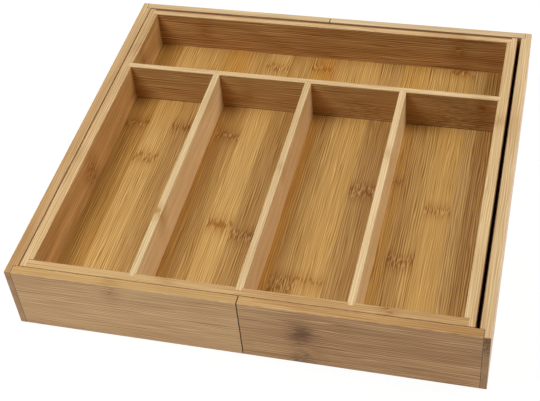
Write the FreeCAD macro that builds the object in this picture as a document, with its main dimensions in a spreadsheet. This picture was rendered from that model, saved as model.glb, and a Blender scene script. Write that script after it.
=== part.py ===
import FreeCAD, Part
import math
import os
import re

import Sketcher
from FreeCAD import Placement, Rotation, Vector

# Expandable cutlery tray of bamboo boards, closed, in millimetres.
# An inner tray with five bays stands in two U-shaped wings, which slide out to the left and the right.
# X runs to the right, Y to the rear and Z up. The origin is the middle of the closed tray's base.
# Width is measured along X, length along Y, height and depth along Z.

SIZES = {
    # Bays of the inner tray, clear of the boards
    "bay_width": 82.1,
    "bay_length": 251.3,
    "rear_bay_length": 79.1,
    "bay_depth": 37.9,
    # Boards of the inner tray
    "side_thickness": 9.4,
    "front_thickness": 8.0,
    "divider_thickness": 6.1,
    "floor_thickness": 5.5,
    "floor_lip": 7.2,
    # Boards of the wings
    "wing_end_thickness": 9.5,
    "wing_front_thickness": 8.3,
    "wing_floor_thickness": 5.0,
    "wing_floor_lip": 7.0,
    # Joints between boards
    "corner_rabbet": 4.2,
    "floor_groove": 4.0,
    "housing_depth": 3.3,
    "cross_housing_depth": 2.6,
    "tongue_shoulder": 0.9,
    "joint_play": 0.15,
    "edge_radius": 0.8,
    # Running gaps between the inner tray and the wings
    "left_gap": 0.5,
    "right_gap": 3.0,
    "front_gap": 0.4,
    "rear_gap": 0.5,
    "floor_gap": 0.4,
    "seam_gap": 0.7,
    # Runner tongues on the inner tray, and their grooves in the wings
    "runner_length": 60.0,
    "runner_height": 5.0,
    "runner_seat": 3.2,
    "runner_reach": 3.1,
    "runner_clearance": 0.3,
    "runner_inset": 10.5,
    "runner_level": 27.6,
    "runner_stop": 15.0,
}

DIVIDERS = ("left_divider", "centre_divider", "right_divider")
BAYS = len(DIVIDERS) + 1

# Sizes and places that follow from the driving ones
DERIVED = {
    "divider_pitch": "bay_width + divider_thickness",
    "clear_width": f"{BAYS} * bay_width + {len(DIVIDERS)} * divider_thickness",
    "clear_length": "bay_length + divider_thickness + rear_bay_length",
    "tray_width": "clear_width + 2 * side_thickness",
    "tray_length": "clear_length + 2 * front_thickness",
    "tray_height": "floor_lip + floor_thickness + bay_depth",
    "tray_x": "(left_gap - right_gap) / 2",
    "tray_y": "(front_gap - rear_gap) / 2",
    "tray_base": "wing_floor_lip + wing_floor_thickness + floor_gap",
    "floor_top": "tray_base + floor_lip + floor_thickness",
    "bays_y": "tray_y - clear_length / 2 + bay_length / 2",
    "cross_offset": "(bay_length - rear_bay_length) / 2",
    "wall_tongue": "housing_depth - joint_play",
    "cross_tongue": "cross_housing_depth - joint_play",
    "panel_edge": "floor_groove - joint_play",
    "outer_width": "tray_width + left_gap + right_gap + 2 * wing_end_thickness",
    "outer_height": "tray_base + tray_height",
    "wing_clear_length": "tray_length + front_gap + rear_gap",
    "outer_length": "wing_clear_length + 2 * wing_front_thickness",
    "wing_clear_end": "outer_width / 2 - wing_end_thickness",
    "seam_face": "seam_gap / 2",
    "wing_board_length": "wing_clear_end + corner_rabbet - seam_face",
    "wing_board_x": "seam_face + wing_board_length / 2",
    "wing_floor_width": "wing_clear_end + panel_edge - seam_face",
    "wing_floor_x": "seam_face + wing_floor_width / 2",
    "runner_offset": "tray_width / 2 - runner_inset - runner_length / 2",
    "runner_z": "tray_base + runner_level",
    "runner_radius": "runner_height / 2",
    "groove_radius": "runner_radius + runner_clearance",
    "groove_depth": "runner_reach + runner_clearance",
    "groove_near": "seam_face + runner_stop + groove_radius - wing_board_x",
    "groove_far": "wing_clear_end - runner_inset - runner_radius - wing_board_x",
}

doc = FreeCAD.newDocument("cutlery_tray")
sheet = doc.addObject("Spreadsheet::Sheet", "sizes")
for row, (name, size) in enumerate(SIZES.items(), start=1):
    sheet.set(f"A{row}", name)
    sheet.set(f"B{row}", str(size))
    sheet.setAlias(f"B{row}", name)
doc.recompute()


def formula(text):
    """Spell a formula out in the sheet's cells."""
    def spell(match):
        word = match.group()
        return f"({formula(DERIVED[word])})" if word in DERIVED else f"sizes.{word}"
    return re.sub(r"[a-z_]+", spell, text)


def new_body(label, x, y, z, turn=0):
    """Start a piece at a place, turned about the upright axis by an angle in degrees."""
    body = doc.addObject("PartDesign::Body", label)
    body.Label = label
    body.Placement = Placement(Vector(), Rotation(Vector(0, 0, 1), turn))
    for axis, place in zip("xyz", (x, y, z)):
        body.setExpression(f"Placement.Base.{axis}", formula(place))
    return body


def new_sketch(body, name, role, offset=None):
    """Start a sketch on one of the piece's own origin planes, or at a distance along that plane's normal."""
    sketch = body.newObject("Sketcher::SketchObject", name)
    plane = next(feature for feature in body.Origin.OriginFeatures if feature.Role == role)
    sketch.AttachmentSupport = [(plane, "")]
    sketch.MapMode = "FlatFace"
    if offset:
        sketch.setExpression("AttachmentOffset.Base.z", formula(offset))
    return sketch


def set_size(sketch, kind, *where, drawn, size):
    """Add a dimension to a sketch, as it is first drawn, and bind it to a formula."""
    index = sketch.addConstraint(Sketcher.Constraint(kind, *where, drawn))
    sketch.setExpression(f"Constraints[{index}]", formula(size))


def draw_rectangle(sketch, left, right, bottom, top):
    """Draw a rectangle whose four sides are given as places from the sketch's origin."""
    corners = [Vector(0, 0), Vector(1, 0), Vector(1, 1), Vector(0, 1)]
    sides = [Part.LineSegment(corners[i], corners[(i + 1) % 4]) for i in range(4)]
    south, east, north, west = sketch.addGeometry(sides)
    for side, following in ((south, east), (east, north), (north, west), (west, south)):
        sketch.addConstraint(Sketcher.Constraint("Coincident", side, 2, following, 1))
    for side in (south, north):
        sketch.addConstraint(Sketcher.Constraint("Horizontal", side))
    for side in (east, west):
        sketch.addConstraint(Sketcher.Constraint("Vertical", side))
    set_size(sketch, "DistanceX", south, 1, drawn=0.0, size=left)
    set_size(sketch, "DistanceX", south, 2, drawn=1.0, size=right)
    set_size(sketch, "DistanceY", south, 1, drawn=0.0, size=bottom)
    set_size(sketch, "DistanceY", north, 1, drawn=1.0, size=top)


def draw_slot(sketch, left, right, level, radius):
    """Draw a slot with round ends, given its two end centres, their level and their radius."""
    up = Vector(0, 0, 1)
    quarter = math.pi / 2
    near = Part.ArcOfCircle(Part.Circle(Vector(-2, 0), up, 1), quarter, 3 * quarter)
    far = Part.ArcOfCircle(Part.Circle(Vector(2, 0), up, 1), -quarter, quarter)
    floor = Part.LineSegment(Vector(-2, -1), Vector(2, -1))
    roof = Part.LineSegment(Vector(2, 1), Vector(-2, 1))
    near, floor, far, roof = sketch.addGeometry([near, floor, far, roof])
    for piece, following in ((near, floor), (floor, far), (far, roof), (roof, near)):
        sketch.addConstraint(Sketcher.Constraint("Tangent", piece, 2, following, 1))
    for line in (floor, roof):
        sketch.addConstraint(Sketcher.Constraint("Horizontal", line))
    set_size(sketch, "Radius", near, drawn=1.0, size=radius)
    set_size(sketch, "DistanceX", near, 3, drawn=-2.0, size=left)
    set_size(sketch, "DistanceX", far, 3, drawn=2.0, size=right)
    set_size(sketch, "DistanceY", near, 3, drawn=0.0, size=level)


def pad(body, sketch, length):
    """Grow a sketch by half the length to each side of its plane."""
    feature = body.newObject("PartDesign::Pad", f"{sketch.Name}_pad")
    feature.Profile = sketch
    feature.SideType = "Symmetric"
    feature.setExpression("Length", formula(length))
    return feature


def pocket(body, sketch, depth=None):
    """Cut a sketch to a depth on each side of its plane, or right through the piece."""
    feature = body.newObject("PartDesign::Pocket", f"{sketch.Name}_pocket")
    feature.Profile = sketch
    feature.SideType = "Symmetric"
    if depth:
        feature.setExpression("Length", formula(f"2 * ({depth})"))
    else:
        feature.Type = "ThroughAll"
    return feature


def ease_edges(body, wanted):
    """Round the wanted edges of the piece as it stands."""
    doc.recompute()
    base = body.Tip
    edges = [f"Edge{i}" for i, edge in enumerate(base.Shape.Edges, start=1) if wanted(edge)]
    fillet = body.newObject("PartDesign::Fillet", f"{body.Name}_eased")
    fillet.Base = (base, edges)
    fillet.setExpression("Radius", formula("edge_radius"))


def runs_along(edge):
    return abs(edge.tangentAt(edge.FirstParameter).x) > 0.9


def runs_along_top(edge):
    return runs_along(edge) and edge.BoundBox.ZMin > 0


def any_edge(edge):
    return True


# Every board is drawn in one way before it is placed: its length along X about the origin, its inner face on
# the XZ plane with the wood behind it towards +Y, and its lower edge on the XY plane.

def new_board(label, place, turn, length, thickness, height, eased):
    """A plain board with eased edges."""
    body = new_body(label, *place, turn)
    profile = new_sketch(body, f"{label}_profile", "YZ_Plane")
    draw_rectangle(profile, "0", thickness, "0", height)
    pad(body, profile, length)
    ease_edges(body, eased)
    return body


def cut_floor_groove(body, lip, floor_thickness):
    """A groove along the inner face that holds the edge of a floor panel."""
    groove = new_sketch(body, f"{body.Name}_floor_groove", "YZ_Plane")
    draw_rectangle(groove, "0", "floor_groove", lip, f"{lip} + {floor_thickness}")
    pocket(body, groove)


def cut_corner_rabbets(body, length, front_thickness):
    """Rabbets at both ends that take the ends of the front and rear boards."""
    rabbets = new_sketch(body, f"{body.Name}_rabbets", "XY_Plane")
    end, shoulder = f"{length} / 2", f"{length} / 2 - {front_thickness}"
    draw_rectangle(rabbets, f"-({end})", f"-({shoulder})", "0", "corner_rabbet")
    draw_rectangle(rabbets, shoulder, end, "0", "corner_rabbet")
    pocket(body, rabbets)


def cut_housing(body, x, depth, bottom, top, face=None):
    """An upright housing, open at the rim, that takes the tongue of a divider."""
    housing = new_sketch(body, f"{body.Name}_housing", "XZ_Plane", face)
    half = "divider_thickness / 2 - tongue_shoulder"
    draw_rectangle(housing, f"{x} - ({half})", f"{x} + ({half})", bottom, f"{top} + edge_radius")
    return pocket(body, housing, depth)


def repeat_housing(body, housing):
    """Repeat the leftmost housing so that each long divider has its own."""
    row = body.newObject("PartDesign::LinearPattern", f"{body.Name}_housings")
    row.Originals = [housing]
    row.Direction = (next(axis for axis in body.Origin.OriginFeatures if axis.Role == "X_Axis"), [""])
    row.setExpression("Length", formula(f"{len(DIVIDERS) - 1} * divider_pitch"))
    row.Occurrences = len(DIVIDERS)
    body.Tip = row


# Inner tray

def inner_side(label, side, turn, cross_x):
    """Side board: grooved for the floor, rabbeted at both ends, housed for the cross divider."""
    place = (f"tray_x {side} clear_width / 2", "tray_y", "tray_base")
    body = new_board(label, place, turn, "tray_length", "side_thickness", "tray_height", any_edge)
    cut_floor_groove(body, "floor_lip", "floor_thickness")
    cut_corner_rabbets(body, "tray_length", "front_thickness")
    cut_housing(body, cross_x, "housing_depth", "floor_lip + floor_thickness", "tray_height")
    return body


def inner_front(label, side, turn):
    """Front or rear board: grooved for the floor, with two seats for runner tongues in its outer face."""
    place = ("tray_x", f"tray_y {side} clear_length / 2", "tray_base")
    length = "clear_width + 2 * corner_rabbet"
    body = new_board(label, place, turn, length, "front_thickness", "tray_height", runs_along)
    cut_floor_groove(body, "floor_lip", "floor_thickness")
    for end in ("-", "+"):
        name = "near" if end == "-" else "far"
        seat = new_sketch(body, f"{label}_{name}_seat", "XZ_Plane", "-front_thickness")
        middle, reach = f"0 {end} runner_offset", "(runner_length / 2 - runner_radius)"
        draw_slot(seat, f"{middle} - {reach}", f"{middle} + {reach}", "runner_level", "runner_radius")
        pocket(body, seat, "runner_seat")
    return body


def runner(label, x_side, y_side, gap):
    """Runner tongue: a slip with round ends, glued into the inner tray, that stands out into a wing's groove."""
    seat_face = "clear_length / 2 + front_thickness"
    middle = f"{seat_face} + ({gap} + runner_reach - runner_seat) / 2"
    place = (f"tray_x {x_side} runner_offset", f"tray_y {y_side} ({middle})", "runner_z")
    body = new_body(label, *place)
    outline = new_sketch(body, f"{label}_outline", "XZ_Plane")
    reach = "runner_length / 2 - runner_radius"
    draw_slot(outline, f"-({reach})", reach, "0", "runner_radius")
    pad(body, outline, f"runner_seat + {gap} + runner_reach")
    return body


def divider(label, place, turn, clear, near_tongue, far_tongue):
    """Divider: a board across a clear space, cut down to a tongue at each end that enters a housing."""
    body = new_body(label, *place, turn)
    profile = new_sketch(body, f"{label}_profile", "XY_Plane", "bay_depth / 2")
    near, far = f"-({clear}) / 2", f"({clear}) / 2"
    face, tongue = "divider_thickness / 2", "divider_thickness / 2 - tongue_shoulder"
    near_end, far_end = f"{near} - {near_tongue}", f"{far} + {far_tongue}"
    draw_rectangle(profile, near_end, far_end, f"-({face})", face)
    pad(body, profile, "bay_depth")
    ease_edges(body, runs_along_top)
    shoulders = new_sketch(body, f"{label}_shoulders", "XY_Plane")
    for left, right in ((near_end, near), (far, far_end)):
        draw_rectangle(shoulders, left, right, tongue, face)
        draw_rectangle(shoulders, left, right, f"-({face})", f"-({tongue})")
    pocket(body, shoulders)
    return body


def cross_divider():
    """Divider across the tray in front of the rear bay, housed for the long dividers in its front face."""
    place = ("tray_x", "tray_y + cross_offset", "floor_top")
    body = divider("cross_divider", place, 0, "clear_width", "wall_tongue", "wall_tongue")
    first = "0 - divider_pitch"
    front_face = "divider_thickness / 2"
    housing = cut_housing(body, first, "cross_housing_depth", "0", "bay_depth", front_face)
    repeat_housing(body, housing)
    return body


def floor_panel(label, place, width, length, thickness):
    """Floor panel, plain, whose edges enter the grooves of the boards round it."""
    body = new_body(label, *place)
    outline = new_sketch(body, f"{label}_outline", "XY_Plane")
    draw_rectangle(outline, f"-({width}) / 2", f"({width}) / 2", f"-({length}) / 2", f"({length}) / 2")
    pad(body, outline, thickness)
    return body


def inner_tray():
    left = inner_side("inner_left_wall", "-", 90, "cross_offset")
    right = inner_side("inner_right_wall", "+", 270, "0 - cross_offset")
    front = inner_front("inner_front_wall", "-", 180)
    rear = inner_front("inner_rear_wall", "+", 0)
    bottom = "floor_lip + floor_thickness"
    housing = cut_housing(front, "0 - divider_pitch", "housing_depth", bottom, "tray_height")
    repeat_housing(front, housing)
    place = ("tray_x", "tray_y", "floor_top - floor_thickness / 2")
    panel_width, panel_length = "clear_width + 2 * panel_edge", "clear_length + 2 * panel_edge"
    floor = floor_panel("inner_floor", place, panel_width, panel_length, "floor_thickness")
    pieces = [left, right, front, rear, floor, cross_divider()]
    for column, label in enumerate(DIVIDERS):
        step = column - (len(DIVIDERS) - 1) // 2
        place = (f"tray_x + ({step}) * divider_pitch", "bays_y", "floor_top")
        pieces.append(divider(label, place, 90, "bay_length", "wall_tongue", "cross_tongue"))
    for y_name, y_side, gap in (("front", "-", "front_gap"), ("rear", "+", "rear_gap")):
        for x_name, x_side in (("left", "-"), ("right", "+")):
            pieces.append(runner(f"{y_name}_{x_name}_tongue", x_side, y_side, gap))
    return pieces


# Wings

def wing_end(label, side, turn):
    """End board of a wing: grooved for the floor, rabbeted at both ends."""
    place = (f"0 {side} wing_clear_end", "0", "0")
    body = new_board(label, place, turn, "outer_length", "wing_end_thickness", "outer_height", any_edge)
    cut_floor_groove(body, "wing_floor_lip", "wing_floor_thickness")
    cut_corner_rabbets(body, "outer_length", "wing_front_thickness")
    return body


def wing_board(label, x_side, y_side, turn):
    """Front or rear board of a wing, from the corner to the seam, with a groove for a runner tongue.

    The groove's end near the seam stops the wing when it is pulled out."""
    place = (f"0 {x_side} wing_board_x", f"0 {y_side} wing_clear_length / 2", "0")
    size = ("wing_board_length", "wing_front_thickness", "outer_height")
    body = new_board(label, place, turn, *size, runs_along)
    cut_floor_groove(body, "wing_floor_lip", "wing_floor_thickness")
    near, far = "groove_near", "groove_far"
    if x_side != y_side:
        near, far = f"-({far})", f"-({near})"
    groove = new_sketch(body, f"{label}_runner_groove", "XZ_Plane")
    draw_slot(groove, near, far, "runner_z", "groove_radius")
    pocket(body, groove, "groove_depth")
    return body


def wing(name, side, end_turn):
    end = wing_end(f"{name}_end_wall", side, end_turn)
    front = wing_board(f"{name}_front_wall", side, "-", 180)
    rear = wing_board(f"{name}_rear_wall", side, "+", 0)
    place = (f"0 {side} wing_floor_x", "0", "wing_floor_lip + wing_floor_thickness / 2")
    panel_length = "wing_clear_length + 2 * panel_edge"
    floor = floor_panel(f"{name}_floor", place, "wing_floor_width", panel_length, "wing_floor_thickness")
    return [end, front, rear, floor]


def check_document(pieces):
    """Stop if a feature failed, a cut missed its piece or a piece isn't one sound solid."""
    for item in doc.Objects:
        if "Invalid" in item.State or "Error" in item.State:
            raise RuntimeError(f"{item.Label} failed: {item.State}")
        if item.TypeId == "PartDesign::Pocket":
            if item.Shape.Volume >= item.BaseFeature.Shape.Volume:
                raise RuntimeError(f"{item.Label} cuts nothing")
    for piece in pieces:
        shape = piece.Shape
        if shape.isNull() or not shape.isValid() or len(shape.Solids) != 1:
            raise RuntimeError(f"{piece.Label} isn't one sound solid")


pieces = inner_tray() + wing("left", "-", 90) + wing("right", "+", 270)
doc.recompute()
check_document(pieces)
os.makedirs("parts", exist_ok=True)
for piece in pieces:
    piece.Shape.exportStep(f"parts/{piece.Label}.step")
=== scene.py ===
import math
import random

import bpy
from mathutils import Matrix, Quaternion, Vector


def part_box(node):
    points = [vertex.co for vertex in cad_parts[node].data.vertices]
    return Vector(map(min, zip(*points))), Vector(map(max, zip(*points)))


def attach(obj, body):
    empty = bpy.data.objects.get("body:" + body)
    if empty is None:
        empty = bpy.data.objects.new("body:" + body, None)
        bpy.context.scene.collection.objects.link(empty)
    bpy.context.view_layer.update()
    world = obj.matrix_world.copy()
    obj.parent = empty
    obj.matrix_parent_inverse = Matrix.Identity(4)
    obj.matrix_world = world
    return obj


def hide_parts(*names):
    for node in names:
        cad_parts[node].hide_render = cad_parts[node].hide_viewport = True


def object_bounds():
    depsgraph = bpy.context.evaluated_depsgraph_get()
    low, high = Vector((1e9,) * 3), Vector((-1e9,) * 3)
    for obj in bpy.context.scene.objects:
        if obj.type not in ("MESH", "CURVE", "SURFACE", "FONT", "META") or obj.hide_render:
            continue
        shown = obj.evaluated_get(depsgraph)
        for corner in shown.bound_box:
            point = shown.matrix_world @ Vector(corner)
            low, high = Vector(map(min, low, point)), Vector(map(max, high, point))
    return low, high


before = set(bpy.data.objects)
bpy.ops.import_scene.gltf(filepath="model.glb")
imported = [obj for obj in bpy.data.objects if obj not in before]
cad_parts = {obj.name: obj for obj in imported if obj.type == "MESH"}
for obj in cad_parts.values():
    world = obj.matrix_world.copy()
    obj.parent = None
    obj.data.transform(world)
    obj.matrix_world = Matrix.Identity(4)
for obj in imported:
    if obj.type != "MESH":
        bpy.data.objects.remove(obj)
cad_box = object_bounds()


# Inner floor: a panel of flat bamboo strips glued edge to edge, sanded flush and lacquered. It
# lies in grooves of the four inner boards. Each strip has its own shade and warmth, and where
# the culm had a node, a ragged dark band crosses the strip from one glue line to the next.

def linear(hex_colour):
    """A colour written as sRGB hex, as the linear colour that a shader takes."""
    shades = [int(hex_colour[i:i + 2], 16) / 255 for i in (1, 3, 5)]
    return [s / 12.92 if s <= 0.04045 else ((s + 0.055) / 1.055) ** 2.4 for s in shades] + [1.0]


def add(tree, kind, inputs=(), output=0, **settings):
    """Adds one node with its settings, links or sets its inputs, and returns one of its outputs.

    By number, a Map Range node's inputs 1 to 4 are its lowest and highest value from and to, and
    a Mix node's input 0 is its factor, 6 and 7 its two colours and output 2 the mixed one.
    """
    node = tree.nodes.new(kind)
    for name, value in settings.items():
        setattr(node, name, value)
    for name, value in dict(inputs).items():
        if isinstance(value, bpy.types.NodeSocket):
            tree.links.new(value, node.inputs[name])
        else:
            node.inputs[name].default_value = value
    return node.outputs[output] if node.outputs else None


X, Y, Z = 0, 1, 2
MM = 0.001
STRIP_PITCH = 22.8 * MM
# The height of the lower of the two glue lines between a board's three strips.
LOWER_LINE = 25.3 * MM


def bamboo(name, grain, face, edge=None, end=None, tones=None, nodes=(), stains_and_shade=(), glue_and_seam_shade=(), painted_shade_lines=(),
           seed=0.0, figure=1.0, corners=None, fade_and_painted_light=(0.0, 0.0)):
    """Bamboo with its fibres along one axis, sanded and lacquered satin.

    The fibres show as fine streaks, each strip of the lamination has its own shade and draws its
    streaks more or less strongly, and a node of the culm is a brown smudge across a strip, with
    short dark and pale dashes.

    face, edge and end are the mean colours of a board's broad faces, of its top and bottom edges
    and of its cut ends. tones are the shades of a board's three strips from the lowest up, from 0
    to 1; a panel has its strips as attributes. nodes are (x, y, z, depth) and stains, on faces to
    the front, are (x, y, z, size, depth), in mm: brown marks, and on the cross divider two broad
    spots of painted shade. glued are thin dark lines across the grain, of glue at a corner and of
    painted shade in a seam: the place along the grain, in m, and half the line's width, in mm.
    grimy are lines of painted shade: an axis and the place on it, in m, how far the line reaches,
    in mm, its colour and its depth. On the Z axis it runs along a board's foot, and otherwise on
    what faces up. seed shifts the figure, and figure is how strongly it is drawn. corners are the
    lowest and highest corner, for the wear along the edges and for fade, what the shade gains at
    the left or front end and at the other one. Where fade makes a piece lighter at its left or
    front end, it is painted light falloff.
    """
    material = bpy.data.materials.new(name)
    material.use_nodes = True
    tree = material.node_tree
    tree.nodes.clear()
    place = add(tree, "ShaderNodeTexCoord", output="Object")
    part = add(tree, "ShaderNodeSeparateXYZ", {0: place}).node.outputs
    shifted = add(tree, "ShaderNodeVectorMath", {0: place, 1: (seed, seed, seed)}, operation="ADD")

    # Length along the grain and width across it, in mm. Real fibres are about 0.3 mm wide, which
    # is too fine to show, so they are drawn at about 1 mm. Each pattern goes from -0.5 to 0.5.
    sizes = {"cloud": (90, 9), "fibre": (60, 0.9), "line": (90, 1.2), "dash": (8, 1.2), "sway": (60, 4.5),
             "patch": (40, 7)}
    pattern = {}
    for key, (length, width) in sizes.items():
        scale = [1 / (width * MM)] * 3
        scale[grain] = 1 / (length * MM)
        stretched = add(tree, "ShaderNodeVectorMath", {0: shifted, 1: scale}, operation="MULTIPLY")
        noise = add(tree, "ShaderNodeTexNoise", {"Vector": stretched, "Scale": 1.0, "Detail": 1.0})
        pattern[key] = add(tree, "ShaderNodeMapRange", {"Value": noise, 1: 0.25, 2: 0.75, 3: -0.5, 4: 0.5})

    # The fibre bundles also lie side by side like combed hair, and wander a little. A wave
    # texture's diagonal bands repeat every 0.628.
    comb_pitch = 2 * MM
    comb_scale = [0.628 / comb_pitch] * 3
    comb_scale[grain] = 0.0
    comb = add(tree, "ShaderNodeVectorMath", {0: shifted, 1: comb_scale}, operation="MULTIPLY")
    wander = add(tree, "ShaderNodeMath", {0: pattern["fibre"], 1: 2.0}, operation="MULTIPLY")
    wander = add(tree, "ShaderNodeMath", {0: pattern["sway"], 1: 7.0, 2: wander}, operation="MULTIPLY_ADD")
    comb = add(tree, "ShaderNodeTexWave", {"Vector": comb, "Scale": 1.0, "Phase Offset": wander}, "Fac",
               bands_direction="DIAGONAL")
    comb = add(tree, "ShaderNodeMapRange", {"Value": comb, 3: -0.5, 4: 0.5})

    # The strip's shade, with clouds in it, and how strongly its streaks are drawn.
    if tones is None:
        clouds = 0.25
        shade = add(tree, "ShaderNodeAttribute", output="Fac", attribute_name="shade")
        drawn = add(tree, "ShaderNodeAttribute", output="Fac", attribute_name="drawn")
    else:
        clouds = 0.65
        shade = tones[0]
        drawn = 0.5
        for i, line in enumerate((LOWER_LINE, LOWER_LINE + STRIP_PITCH)):
            higher = add(tree, "ShaderNodeMath", {0: part[Z], 1: line}, operation="GREATER_THAN")
            change = tones[i + 1] - tones[i]
            shade = add(tree, "ShaderNodeMath", {0: higher, 1: change, 2: shade}, operation="MULTIPLY_ADD")
    shade = add(tree, "ShaderNodeMath", {0: shade, 1: figure, 2: 0.5 - 0.5 * figure},
                operation="MULTIPLY_ADD")
    shade = add(tree, "ShaderNodeMath", {0: pattern["cloud"], 1: clouds * figure, 2: shade},
                operation="MULTIPLY_ADD")
    # What the shade gains from one end of the grain to the other. Lighter at the left or front end, it is
    # painted light falloff.
    if corners:
        ends = {1: corners[0][grain], 2: corners[1][grain], 3: fade_and_painted_light[0], 4: fade_and_painted_light[1]}
        gained = add(tree, "ShaderNodeMapRange", {"Value": part[grain], **ends})
        shade = add(tree, "ShaderNodeMath", {0: shade, 1: gained}, operation="ADD")
    drawn = add(tree, "ShaderNodeMath", {0: drawn, 1: 0.8 * figure, 2: 0.5 * figure},
                operation="MULTIPLY_ADD")
    streaks = add(tree, "ShaderNodeMath", {0: pattern["fibre"], 1: 0.4}, operation="MULTIPLY")
    combed = add(tree, "ShaderNodeMapRange", {"Value": pattern["patch"], 1: -0.3, 2: 0.3, 3: 0.2, 4: 0.85})
    streaks = add(tree, "ShaderNodeMath", {0: comb, 1: combed, 2: streaks}, operation="MULTIPLY_ADD")
    grade = add(tree, "ShaderNodeMath", {0: streaks, 1: drawn, 2: 0.5}, operation="MULTIPLY_ADD",
                use_clamp=True)

    # The darkest and the lightest fibres round each mean colour. Red varies least and blue most, so
    # the dark fibres are the redder ones.
    varies = (0.42, 0.54, 0.72, 0.0)
    colour = None
    normal = add(tree, "ShaderNodeNewGeometry", output="Normal")
    facing = add(tree, "ShaderNodeVectorMath", {0: normal}, operation="ABSOLUTE")
    facing = add(tree, "ShaderNodeSeparateXYZ", {0: facing}).node.outputs
    for mean, side, spread in ((face, None, 1.0), (edge, facing[Z], 0.6), (end, facing[grain], 0.8)):
        if mean:
            dark, light = ([c * (1 + sign * spread * v) for c, v in zip(linear(mean), varies)]
                           for sign in (-1, 1))
            wood = add(tree, "ShaderNodeMix", {0: grade, 6: dark, 7: light}, 2, data_type="RGBA")
            if colour:
                turned = add(tree, "ShaderNodeMapRange", {"Value": side, 1: 0.5, 2: 0.85})
                wood = add(tree, "ShaderNodeMix", {0: turned, 6: colour, 7: wood}, 2, data_type="RGBA")
            colour = wood
    # What the darkest and the lightest strips multiply the colour by.
    darkest = (0.80, 0.77, 0.72, 1.0)
    lightest = (1.10, 1.21, 1.36, 1.0)
    tone = add(tree, "ShaderNodeMix", {0: shade, 6: darkest, 7: lightest}, 2, data_type="RGBA",
               clamp_factor=False)
    colour = add(tree, "ShaderNodeMix", {0: 1.0, 6: colour, 7: tone}, 2, data_type="RGBA",
                 blend_type="MULTIPLY")
    if tones is None:
        # A strip's warmth turns it redder. On the inner panel it also paints the shade's colour: the
        # strips in the shade beside each divider's right foot are warmest, and those along each bay's
        # right side greyest. On the wing floors it is drawn at random.
        cooler_hue = (1.0, 1.04, 1.2, 1.0)
        warmer_hue = (1.0, 0.96, 0.8, 1.0)
        warm = add(tree, "ShaderNodeAttribute", output="Fac", attribute_name="warm")
        hue = add(tree, "ShaderNodeMix", {0: warm, 6: cooler_hue, 7: warmer_hue}, 2, data_type="RGBA")
        colour = add(tree, "ShaderNodeMix", {0: 1.0, 6: colour, 7: hue}, 2, data_type="RGBA",
                     blend_type="MULTIPLY")

    # Vessels that were cut open draw thin dark lines, most on the strips that are strongly drawn.
    lines = add(tree, "ShaderNodeMapRange", {"Value": pattern["line"], 1: -0.14, 2: -0.3, 3: 0.0, 4: 0.25})
    brown = add(tree, "ShaderNodeMath", {0: lines, 1: drawn}, operation="MULTIPLY")

    # How far a point is from the nearest node, along the grain. A node sways from fibre to fibre,
    # and a faint one counts as further away.
    fainter = 9 * MM
    swayed = add(tree, "ShaderNodeMath", {0: pattern["sway"], 1: 7 * MM, 2: part[grain]},
                 operation="MULTIPLY_ADD")
    swayed = add(tree, "ShaderNodeMath", {0: pattern["line"], 1: 4 * MM, 2: swayed},
                 operation="MULTIPLY_ADD")
    spot = add(tree, "ShaderNodeCombineXYZ", {a: swayed if a == grain else part[a] for a in (X, Y, Z)})
    away = []
    if tones is None:
        faint = add(tree, "ShaderNodeAttribute", output="Fac", attribute_name="faint")
        for label in ("node_near", "node_far"):
            centre = add(tree, "ShaderNodeAttribute", output="Fac", attribute_name=label)
            gap = add(tree, "ShaderNodeMath", {0: swayed, 1: centre}, operation="SUBTRACT")
            gap = add(tree, "ShaderNodeMath", {0: gap}, operation="ABSOLUTE")
            gap = add(tree, "ShaderNodeMath", {0: faint, 1: fainter, 2: gap}, operation="MULTIPLY_ADD")
            away.append(gap)
    # On a board, a node is a spot that is twice as wide across the grain as along it.
    oval = [1.0 if a == grain else 0.5 for a in (X, Y, Z)]
    for x, y, z, depth in nodes:
        gap = add(tree, "ShaderNodeVectorMath", {0: spot, 1: (x * MM, y * MM, z * MM)}, operation="SUBTRACT")
        gap = add(tree, "ShaderNodeVectorMath", {0: gap, 1: oval}, operation="MULTIPLY")
        gap = add(tree, "ShaderNodeVectorMath", {0: gap}, "Value", operation="LENGTH")
        gap = add(tree, "ShaderNodeMath", {0: gap, 1: (1 - depth) * fainter}, operation="ADD")
        away.append(gap)
    pale = None
    if away:
        # A soft smudge lies to both sides of a node, and short dashes nearer to it.
        smudge_reach = 19 * MM
        dash_reach = 7 * MM
        nearest = away[0]
        for gap in away[1:]:
            nearest = add(tree, "ShaderNodeMath", {0: nearest, 1: gap}, operation="MINIMUM")
        smudge = add(tree, "ShaderNodeMapRange",
                     {"Value": nearest, 1: smudge_reach, 2: 1 * MM, 3: 0.0, 4: 0.45},
                     interpolation_type="SMOOTHSTEP")
        core = add(tree, "ShaderNodeMapRange", {"Value": nearest, 1: dash_reach, 2: 2 * MM})
        dashes = add(tree, "ShaderNodeMapRange",
                     {"Value": pattern["dash"], 1: 0.05, 2: -0.2, 3: 0.0, 4: 0.85})
        smudge = add(tree, "ShaderNodeMath", {0: dashes, 1: core, 2: smudge}, operation="MULTIPLY_ADD")
        brown = add(tree, "ShaderNodeMath", {0: brown, 1: smudge}, operation="MAXIMUM")
        pale = add(tree, "ShaderNodeMapRange", {"Value": pattern["dash"], 1: 0.08, 2: 0.26, 3: 0.0, 4: 0.6})
        pale = add(tree, "ShaderNodeMath", {0: pale, 1: core}, operation="MULTIPLY")
    browned = add(tree, "ShaderNodeMix", {0: 1.0, 6: colour, 7: linear("#C6A878")}, 2, data_type="RGBA",
                  blend_type="MULTIPLY")
    colour = add(tree, "ShaderNodeMix", {0: brown, 6: colour, 7: browned}, 2, data_type="RGBA")
    if pale:
        colour = add(tree, "ShaderNodeMix", {0: pale, 6: colour, 7: linear("#D6B078")}, 2, data_type="RGBA")

    worn = painted_shade = 0.0
    if corners:
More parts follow.
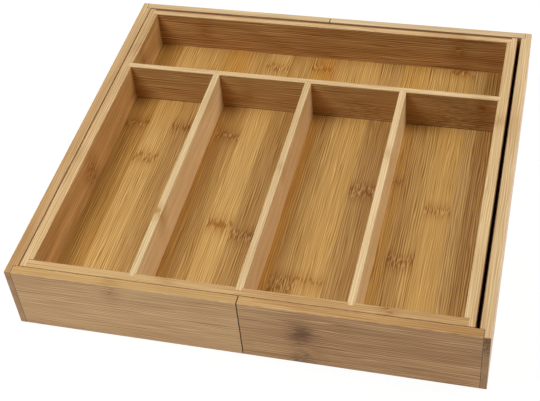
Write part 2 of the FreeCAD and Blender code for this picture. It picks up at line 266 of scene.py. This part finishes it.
        # Hands have rubbed the lacquer thin along a board's edges, where the bamboo is paler and dull.
        gaps = []
        for axis in [a for a in (X, Y, Z) if a != grain]:
            below = add(tree, "ShaderNodeMath", {0: part[axis], 1: corners[0][axis]}, operation="SUBTRACT")
            above = add(tree, "ShaderNodeMath", {0: corners[1][axis], 1: part[axis]}, operation="SUBTRACT")
            gaps.append(add(tree, "ShaderNodeMath", {0: below, 1: above}, operation="MINIMUM"))
        inwards = add(tree, "ShaderNodeMath", {0: gaps[0], 1: gaps[1]}, operation="MAXIMUM")
        worn = add(tree, "ShaderNodeMapRange", {"Value": inwards, 1: 1.5 * MM, 2: 0.3 * MM})
        rubbed = add(tree, "ShaderNodeMapRange", {"Value": pattern["dash"], 1: -0.3, 2: 0.3, 3: 0.0, 4: 0.4})
        worn = add(tree, "ShaderNodeMath", {0: worn, 1: rubbed}, operation="MULTIPLY")
        colour = add(tree, "ShaderNodeMix", {0: worn, 6: colour, 7: linear("#E4C698")}, 2, data_type="RGBA")
    for x, y, z, size, depth in stains_and_shade:
        # Brown, flecked marks where water has soaked in round a knot or an open joint and dried.
        # The two broad, faint ones on the cross divider are painted shade, darker towards its right end.
        gap = add(tree, "ShaderNodeVectorMath", {0: spot, 1: (x * MM, y * MM, z * MM)}, operation="SUBTRACT")
        gap = add(tree, "ShaderNodeVectorMath", {0: gap}, "Value", operation="LENGTH")
        stain_and_shade_reach = {1: size * MM, 2: 0.15 * size * MM, 3: 0.0, 4: depth}
        stain_and_shade = add(tree, "ShaderNodeMapRange", {"Value": gap, **stain_and_shade_reach}, interpolation_type="SMOOTHSTEP")
        stain_and_shade = add(tree, "ShaderNodeMath", {0: stain_and_shade, 1: facing[Y]}, operation="MULTIPLY")
        flecks = add(tree, "ShaderNodeMath", {0: pattern["dash"], 1: 3.0, 2: 1.0}, operation="MULTIPLY_ADD")
        stain_and_shade = add(tree, "ShaderNodeMath", {0: stain_and_shade, 1: flecks}, operation="MULTIPLY", use_clamp=True)
        colour = add(tree, "ShaderNodeMix", {0: stain_and_shade, 6: colour, 7: linear("#4A2A0A")}, 2, data_type="RGBA")
    glue_and_shade_depth = 0.8
    # Dark lines across the grain: glue at a lapped corner, and painted shade in the seam between the wings.
    for level, half_width in glue_and_seam_shade:
        joint = add(tree, "ShaderNodeMath", {0: part[grain], 1: level, 2: half_width * MM},
                    operation="COMPARE")
        joint = add(tree, "ShaderNodeMath", {0: joint, 1: glue_and_shade_depth}, operation="MULTIPLY")
        colour = add(tree, "ShaderNodeMix", {0: joint, 6: colour, 7: linear("#3E2A18")}, 2, data_type="RGBA")
    # Lines of painted shade beside the gaps between boards, along a board's foot and beside dividers.
    for axis, level, reach, painted_shade_colour, depth in painted_shade_lines:
        gap = add(tree, "ShaderNodeMath", {0: part[axis], 1: level}, operation="SUBTRACT")
        gap = add(tree, "ShaderNodeMath", {0: gap}, operation="ABSOLUTE")
        line = add(tree, "ShaderNodeMapRange", {"Value": gap, 1: reach * MM, 2: 0.3 * reach * MM})
        turned = facing[Y] if axis == Z else facing[Z]
        turned = add(tree, "ShaderNodeMapRange", {"Value": turned, 1: 0.2, 2: 0.6, 3: 0.0, 4: depth})
        line = add(tree, "ShaderNodeMath", {0: line, 1: turned}, operation="MULTIPLY")
        colour = add(tree, "ShaderNodeMix", {0: line, 6: colour, 7: linear(painted_shade_colour)}, 2, data_type="RGBA")
        painted_shade = add(tree, "ShaderNodeMath", {0: painted_shade, 1: line}, operation="MAXIMUM")

    # Satin lacquer: a broad, soft sheen, a little tighter on the dense pale fibres, and duller where
    # it is rubbed and under the lines of painted shade. The bump is far shallower than a fibre is wide.
    duller = 0.5
    gloss = add(tree, "ShaderNodeMapRange", {"Value": pattern["fibre"], 1: -0.5, 2: 0.5, 3: 0.5, 4: 0.38})
    gloss = add(tree, "ShaderNodeMath", {0: worn, 1: duller, 2: gloss}, operation="MULTIPLY_ADD")
    gloss = add(tree, "ShaderNodeMath", {0: painted_shade, 1: duller, 2: gloss}, operation="MULTIPLY_ADD")
    bump = add(tree, "ShaderNodeBump", {"Height": streaks, "Strength": 0.12, "Distance": 0.3 * MM})
    surface = add(tree, "ShaderNodeBsdfPrincipled", {
        "Base Color": colour, "Roughness": gloss, "Normal": bump, "IOR": 1.5, "Specular IOR Level": 0.25})
    add(tree, "ShaderNodeOutputMaterial", {"Surface": surface})
    return material


# One strip is swept along the panel and laid on each point, scaled to the width it was ripped to.
strip_tree = bpy.data.node_groups.new("bamboo_strips", "GeometryNodeTree")
strip_inputs = {}
for label, kind in (("Strips", "Geometry"), ("Length", "Float"), ("Width", "Float"), ("Thickness", "Float"),
                    ("Eased edge", "Float"), ("Material", "Material")):
    made = strip_tree.interface.new_socket(label, in_out="INPUT", socket_type="NodeSocket" + kind)
    strip_inputs[label] = made.identifier
strip_tree.interface.new_socket("Panel", in_out="OUTPUT", socket_type="NodeSocketGeometry")
given = strip_tree.nodes.new("NodeGroupInput").outputs
run = add(strip_tree, "GeometryNodeCurvePrimitiveLine", {"Direction": (0, 1, 0), "Length": given["Length"]},
          mode="DIRECTION")
run = add(strip_tree, "GeometryNodeSetCurveNormal", {"Curve": run}, mode="Z_UP")
section = add(strip_tree, "GeometryNodeCurvePrimitiveQuadrilateral",
              {"Width": given["Width"], "Height": given["Thickness"]}, mode="RECTANGLE")
section = add(strip_tree, "GeometryNodeFilletCurve",
              {"Curve": section, "Count": 2, "Radius": given["Eased edge"]}, mode="POLY")
swept = add(strip_tree, "GeometryNodeCurveToMesh",
            {"Curve": run, "Profile Curve": section, "Fill Caps": True})
ripped = add(strip_tree, "GeometryNodeInputNamedAttribute", {"Name": "width"}, data_type="FLOAT")
ripped = add(strip_tree, "ShaderNodeMath", {0: ripped, 1: given["Width"]}, operation="DIVIDE")
ripped = add(strip_tree, "ShaderNodeCombineXYZ", {0: ripped, 1: 1.0, 2: 1.0})
laid = add(strip_tree, "GeometryNodeInstanceOnPoints",
           {"Points": given["Strips"], "Instance": swept, "Scale": ripped})
laid = add(strip_tree, "GeometryNodeRealizeInstances", {"Geometry": laid})
laid = add(strip_tree, "GeometryNodeSetShadeSmooth", {"Geometry": laid, "Shade Smooth": False})
laid = add(strip_tree, "GeometryNodeSetMaterial", {"Geometry": laid, "Material": given["Material"]})
add(strip_tree, "NodeGroupOutput", {"Panel": laid})

GLUE_LINE = 0.03 * MM
EASED_EDGE = 0.05 * MM
# A place, in m, far outside the panel, for a strip that has no node or only one.
NO_NODE = 9.0


def lay_panel(name, node, first, strips, material, last=None):
    """A panel of strips in the place of a CAD panel. first is the first glue line's place, in mm,
    and last that of the last one, where the strip beside it was ripped narrower.

    Each strip is its shade, how warm its colour is and how strongly its streaks are drawn, from 0
    to 1, how faint its nodes are, below 0 for bold ones, and then the places of its nodes along
    the panel, in mm.
    """
    low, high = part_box(node)
    lines = [low.x] + [first * MM + i * STRIP_PITCH for i in range(len(strips) - 1)] + [high.x]
    if last:
        lines[-2] = last * MM
    sides = list(zip(lines, lines[1:]))
    mesh = bpy.data.meshes.new(name)
    mesh.from_pydata([((a + b) / 2, low.y, (low.z + high.z) / 2) for a, b in sides], [], [])
    shades, warmths, drawings, faintnesses = ([strip[i] for strip in strips] for i in range(4))
    nodes = [[n * MM for n in strip[4:]] + [NO_NODE, NO_NODE] for strip in strips]
    for label, values in (("width", [b - a - GLUE_LINE for a, b in sides]), ("shade", shades),
                          ("warm", warmths), ("drawn", drawings), ("faint", faintnesses),
                          ("node_near", [n[0] for n in nodes]), ("node_far", [n[1] for n in nodes])):
        mesh.attributes.new(label, "FLOAT", "POINT").data.foreach_set("value", values)
    panel = bpy.data.objects.new(name, mesh)
    bpy.context.scene.collection.objects.link(panel)
    strips_on = panel.modifiers.new("strips", "NODES")
    strips_on.node_group = strip_tree
    for label, value in (("Length", high.y - low.y), ("Width", STRIP_PITCH - GLUE_LINE),
                         ("Thickness", high.z - low.z), ("Eased edge", EASED_EDGE), ("Material", material)):
        strips_on[strip_inputs[label]] = value
    depsgraph = bpy.context.evaluated_depsgraph_get()
    finished = bpy.data.meshes.new_from_object(panel.evaluated_get(depsgraph), preserve_all_data_layers=True,
                                               depsgraph=depsgraph)
    panel.modifiers.clear()
    panel.data = finished
    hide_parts(node)
    return panel


# Painted warm shade: the floor beside the right foot of two dividers is darkened to a warm brown.
painted_foot_shade = [(X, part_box(divider)[1].x, 16, "#B06800", 0.25)
              for divider in ("left_divider", "centre_divider")]
panel_colour = "#BE904E"
# The panel is lighter at its front and darker at its rear: painted light falloff.
panel_painted_light_fade = (0.1, -0.15)
panel_seed = 0.13
panel_bamboo = bamboo("bamboo_inner_panel_lacquered", Y, panel_colour, painted_shade_lines=painted_foot_shade, seed=panel_seed,
                      corners=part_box("inner_floor"), fade_and_painted_light=panel_painted_light_fade)
inner_panel = lay_panel("inner_floor_panel", "inner_floor", -173.7, (
    (0.4, 0.7, 0.5, 0), (0.2, 0.9, 0.6, 0.2, 46), (0.8, 0.4, 0.5, 0, 1), (0.4, 0.3, 0.6, 0.2, 48),
    (0.4, 0.9, 0.5, 0.3, -120), (0.4, 0.4, 0.5, 0.1, 41), (0.9, 0.4, 0.3, 0, -71, 146),
    (0.2, 0.2, 0.6, -0.1, -81), (0.4, 0.9, 0.6, 0.1, 152), (0.6, 0.4, 0.6, -0.4, -128),
    (0.7, 0.5, 0.3, 0.4, -121), (0.2, 0, 0.6, -0.2, -12), (0.5, 0.8, 0.5, 0.4, 6),
    (0.5, 0.4, 0.8, -0.2, -87), (0.7, 0.6, 0.2, 0.1, -26, 165), (0.6, 0, 0.7, 0),
    (0.1, 0, 1.0, 0)), panel_bamboo, last=156)
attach(inner_panel, "inner_tray")


# Inner boards: four bamboo boards of strips on edge, lapped and glued at the corners, with
# eased and lacquered edges. The floor sits in a groove along the inside of each. Each board's
# lines of painted shade beside the running gaps are a side, 0 for low and 1 for high, a reach in
# mm and a colour.
PAINTED_SHADE_DEPTH = 0.9
for board, grain, face, edge, tones, fade_and_painted_light, painted_gap_shade, seed, figure, nodes in (
        ("inner_left_wall", Y, "#C8965A", "#D0AA76", (0.5, 0.5, 0.5), (0.0, -0.2),
         ((0, 0.8, "#A05000"),), 0.37, 1.2, ((-179, -41, 37, 1.4), (-179, 110, 40, 1.2))),
        ("inner_right_wall", Y, "#C8965A", "#D4AE7A", (0.4, 0.5, 0.6), (0.0, 0.0),
         ((1, 0.8, "#5A2A00"),), 0.41, 1.0, ((177, 57, 60, 0.6), (177, -88, 30, 0.8))),
        ("inner_front_wall", X, "#C8965A", "#C89E68", (0.4, 0.6, 0.5), (0.2, -0.3),
         (), 0.59, 1.0, ((40, -172, 35, 0.8), (-60, -172, 58, 0.5), (115, -170, 62, 0.7))),
        ("inner_rear_wall", X, "#B8864E", "#D2AA76", (0.5, 0.5, 0.7), (0.0, 0.0),
         ((1, 4.0, "#A05000"), (1, 2.4, "#2E1400")), 0.63, 1.5,
         ((-125, 172, 44, 0.7), (129, 172, 50, 0.9)))):
    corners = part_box(board)
    across = X if grain == Y else Y
    painted_shade_lines = [(across, corners[side][across], reach, painted_shade_colour, PAINTED_SHADE_DEPTH) for side, reach, painted_shade_colour in painted_gap_shade]
    finish = bamboo("bamboo_" + board, grain, face, edge, face, tones, nodes, painted_shade_lines=painted_shade_lines, seed=seed,
                    figure=figure, corners=corners, fade_and_painted_light=fade_and_painted_light)
    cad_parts[board].material_slots[0].material = finish


# Dividers: thinner, paler bamboo boards. The cross divider is tongued into the side boards,
# and the three long ones stand between it and the front board, glued into housings. A line of
# painted shadow runs along the cross divider's foot, two broad spots of painted shade darken its
# face towards the right, and the long dividers are lighter at the front as painted light falloff.
for board, grain, face, edge, tones, fade_and_painted_light, seed, figure, nodes, stains_and_shade in (
        # The cross divider's two broad, faint spots are painted shade.
        ("cross_divider", X, "#BE925A", "#DEBA88", (0.2, 0.4, 0.5), (0.0, 0.0), 0.71, 1.1,
         ((160, 86, 50, 0.9), (-60, 86, 40, 0.5)), ((45, 83, 16, 60, 0.2), (135, 83, 16, 70, 0.3))),
        ("left_divider", Y, "#E6BE88", "#D8B886", (0.5, 0.5, 0.5), (0.1, -0.15), 0.83, 0.75,
         ((-90, -101, 58, 0.9),), ()),
        ("centre_divider", Y, "#D6AC78", "#D6B482", (0.5, 0.5, 0.5), (0.2, -0.2), 0.87, 0.75,
         ((-1, -30, 60, 0.4),), ()),
        ("right_divider", Y, "#E8C28C", "#E4C290", (0.5, 0.5, 0.5), (0.0, -0.15), 0.93, 0.75,
         ((87, 0, 60, 0.4),), ())):
    # Painted shadow along the cross divider's foot, where it meets the floor.
    foot = (Z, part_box("inner_floor")[1].z, 0.8, "#5A2A00", PAINTED_SHADE_DEPTH)
    painted_shade_lines = [foot] if grain == X else ()
    finish = bamboo("bamboo_" + board, grain, face, edge, face, tones, nodes, stains_and_shade, painted_shade_lines=painted_shade_lines, seed=seed,
                    figure=figure, corners=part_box(board), fade_and_painted_light=fade_and_painted_light)
    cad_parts[board].material_slots[0].material = finish


# Runner tongues: four small slips of bamboo, rounded and waxed, glued into the outer faces of
# the inner front and rear boards. They run in the grooves of the wings and hold them level.
tongue_bamboo = bamboo("bamboo_runner_tongues", X, "#D2AA72", None, "#B08A5A", (0.5, 0.5, 0.5), seed=0.91)
for tongue in ("front_left_tongue", "front_right_tongue", "rear_left_tongue", "rear_right_tongue"):
    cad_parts[tongue].material_slots[0].material = tongue_bamboo


# Wing floors: thinner panels of the same strips, one in each wing, under the inner tray while
# the wings are closed. Each lies in grooves of its wing's three boards. Like the inner floor, they
# are lighter at the front and darker at the rear: painted light falloff.
wing_panel_bamboo = bamboo("bamboo_wing_panel_lacquered", Y, panel_colour, seed=panel_seed,
                           corners=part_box("inner_floor"), fade_and_painted_light=panel_painted_light_fade)
STRIPS_PER_WING = 9
dealt = random.Random(11)
for side, first in (("left", -172), ("right", 16)):
    strips = [(dealt.uniform(0.3, 0.7), dealt.random(), dealt.random(), 0.2 * dealt.random(),
               dealt.uniform(-170, -20), dealt.uniform(60, 175)) for _ in range(STRIPS_PER_WING)]
    wing_panel = lay_panel(side + "_floor_panel", side + "_floor", first, strips, wing_panel_bamboo)
    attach(wing_panel, side + "_wing")


# Wing boards: the end, front and rear board of each wing, lapped and glued at the corners,
# with a groove for the floor and one for the runner tongues. Front and rear boards show glue at
# their corner and painted shade in the seam between the wings, as lines of these half widths, in
# mm. Their lines of painted shade beside the gaps are given as on the inner boards.
CORNER_GLUE = 0.5
SEAM_SHADE = 0.1
for board, grain, face, edge, end, tones, fade_and_painted_light, painted_gap_shade, seed, figure, nodes, stains_and_shade in (
        ("left_front_wall", X, "#CCA06C", "#C49A60", "#B08C64", (0.5, 0.5, 0.4), (0.0, 0.0),
         ((1, 0.4, "#5A2A00"),), 0.23, 0.8, ((-104, -184, 57, 0.6),), ()),
        ("left_rear_wall", X, "#CCA67C", "#DAB784", "#B08C64", (0.4, 0.6, 0.5), (0.0, 0.0),
         ((0, 0.9, "#2E1400"),), 0.27, 1.0, ((-70, 184, 30, 0.9),), ()),
        ("left_end_wall", Y, "#CCA67C", "#C49A66", "#BE9468", (0.6, 0.4, 0.5), (-0.4, 0.5),
         ((1, 0.6, "#5A2400"),), 0.29, 1.0, ((-194, -70, 20, 0.9),), ()),
        ("right_front_wall", X, "#B68856", "#BA8C56", "#A08058", (0.7, 0.4, 0.6), (0.3, -0.2),
         (), 0.43, 1.2, ((49, -184, 37, 1.0), (47, -184, 23, 0.7), (62, -184, 17, 0.4)),
         ((49, -185, 37, 19, 0.35), (49, -185, 38, 9, 0.35), (49, -185, 5, 15, 0.35))),
        ("right_rear_wall", X, "#C8A278", "#D6B486", "#A08058", (0.5, 0.4, 0.6), (0.0, 0.0),
         ((0, 0.9, "#2E1400"),), 0.47, 1.0, ((90, 184, 36, 0.8),), ()),
        ("right_end_wall", Y, "#CCA67C", "#D6B280", "#A87E50", (0.5, 0.6, 0.4), (0.0, 0.15),
         ((0, 0.8, "#5A2A00"),), 0.53, 1.0, ((194, 60, 40, 0.9),), ((191, -185, 60, 26, 0.5),))):
    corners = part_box(board)
    across = X if grain == Y else Y
    seam, corner = sorted((tip.x for tip in corners), key=abs)
    glue_and_seam_shade = ((corner, CORNER_GLUE), (seam, SEAM_SHADE)) if grain == X else ()
    painted_shade_lines = [(across, corners[side][across], reach, painted_shade_colour, PAINTED_SHADE_DEPTH) for side, reach, painted_shade_colour in painted_gap_shade]
    finish = bamboo("bamboo_" + board, grain, face, edge, end, tones, nodes, stains_and_shade, glue_and_seam_shade, painted_shade_lines, seed,
                    figure, corners, fade_and_painted_light)
    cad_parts[board].material_slots[0].material = finish


# Studio: a white sweep on a light table, which fills in the tray's sides from below, a white
# surround, and two soft lamps: a square one at the left, a little in front, and a tall one at
# the right, a little behind.
REACH = 6.0
TABLE_LIGHT = 0.4
PAPER_WHITE = 0.9
SURROUND_LIGHT = 0.02
sweep_mesh = bpy.data.meshes.new("sweep")
sweep_mesh.from_pydata([(-REACH, -REACH, 0), (REACH, -REACH, 0), (REACH, REACH, 0), (-REACH, REACH, 0)], [],
                       [(0, 1, 2, 3)])
sweep = bpy.data.objects.new("sweep", sweep_mesh)
bpy.context.scene.collection.objects.link(sweep)

# Matt white paper, lit through from below except where the closed tray stands on it. To the eye
# it is nearly pure white, and keeps a trace of the tray's shadow.
paper = bpy.data.materials.new("white_paper_sweep")
paper.use_nodes = True
tree = paper.node_tree
tree.nodes.clear()
place = add(tree, "ShaderNodeTexCoord", output="Object")
tucked = 0.5 * MM
covered = (cad_box[1].x - tucked, cad_box[1].y - tucked, 0)
beyond = add(tree, "ShaderNodeVectorMath", {0: place}, operation="ABSOLUTE")
beyond = add(tree, "ShaderNodeVectorMath", {0: beyond, 1: covered}, operation="SUBTRACT")
beyond = add(tree, "ShaderNodeSeparateXYZ", {0: beyond}).node.outputs
beyond = add(tree, "ShaderNodeMath", {0: beyond[X], 1: beyond[Y]}, operation="MAXIMUM")
beyond = add(tree, "ShaderNodeMath", {0: beyond, 1: 0.0}, operation="GREATER_THAN")
matt = add(tree, "ShaderNodeBsdfDiffuse", {"Color": linear("#F4F4F4")})
lit = add(tree, "ShaderNodeMath", {0: beyond, 1: TABLE_LIGHT}, operation="MULTIPLY")
table = add(tree, "ShaderNodeEmission", {"Color": (1, 1, 1, 1), "Strength": lit})
matt = add(tree, "ShaderNodeAddShader", {0: matt, 1: table})
glow = add(tree, "ShaderNodeEmission", {"Color": (1, 1, 1, 1), "Strength": 1.0})
rays = add(tree, "ShaderNodeLightPath").node.outputs
seen = add(tree, "ShaderNodeMath", {0: rays["Is Camera Ray"], 1: rays["Is Glossy Ray"]}, operation="MAXIMUM")
seen = add(tree, "ShaderNodeMath", {0: seen, 1: rays["Is Transmission Ray"]}, operation="MAXIMUM")
seen = add(tree, "ShaderNodeMath", {0: seen, 1: beyond}, operation="MULTIPLY")
seen = add(tree, "ShaderNodeMath", {0: seen, 1: PAPER_WHITE}, operation="MULTIPLY")
shown = add(tree, "ShaderNodeMixShader", {0: seen, 1: matt, 2: glow})
add(tree, "ShaderNodeOutputMaterial", {"Surface": shown})
sweep_mesh.materials.append(paper)

world = bpy.data.worlds.new("white_surround")
bpy.context.scene.world = world
world.use_nodes = True
tree = world.node_tree
tree.nodes.clear()
soft = add(tree, "ShaderNodeBackground", {"Color": (1, 1, 1, 1), "Strength": SURROUND_LIGHT})
white = add(tree, "ShaderNodeBackground", {"Color": (1, 1, 1, 1), "Strength": 1.0})
rays = add(tree, "ShaderNodeLightPath").node.outputs
seen = add(tree, "ShaderNodeMath", {0: rays["Is Camera Ray"], 1: rays["Is Glossy Ray"]}, operation="MAXIMUM")
seen = add(tree, "ShaderNodeMath", {0: seen, 1: rays["Is Transmission Ray"]}, operation="MAXIMUM")
shown = add(tree, "ShaderNodeMixShader", {0: seen, 1: soft, 2: white})
add(tree, "ShaderNodeOutputWorld", {"Surface": shown})

for name, spot, width, height, watts in (("left_softbox", (-0.6, -0.3, 1.0), 0.6, 0.6, 9.8),
                                         ("right_softbox", (0.95, 0.28, 1.0), 0.6, 1.1, 13.4)):
    lamp = bpy.data.objects.new(name, bpy.data.lights.new(name, "AREA"))
    lamp.data.shape = "RECTANGLE"
    lamp.data.size = width
    lamp.data.size_y = height
    lamp.data.energy = watts
    lamp.location = spot
    lamp.rotation_mode = "QUATERNION"
    lamp.rotation_quaternion = (-lamp.location).to_track_quat("-Z", "Y")
    bpy.context.scene.collection.objects.link(lamp)
bpy.context.scene.view_settings.view_transform = "Standard"


# Camera: in front of the tray, above it and to its right, tilted a little to one side.
camera = bpy.data.objects.new("camera", bpy.data.cameras.new("camera"))
camera.data.lens = 76.9
camera.data.sensor_width = 36
camera.location = (0.2095, -0.7203, 0.7403)
aim = Vector((-0.0098, -0.0417, 0.0315))
tilt = Quaternion((0, 0, 1), math.radians(-6.2))
camera.rotation_mode = "QUATERNION"
camera.rotation_quaternion = (aim - camera.location).to_track_quat("-Z", "Y") @ tilt
bpy.context.scene.collection.objects.link(camera)
bpy.context.scene.camera = camera
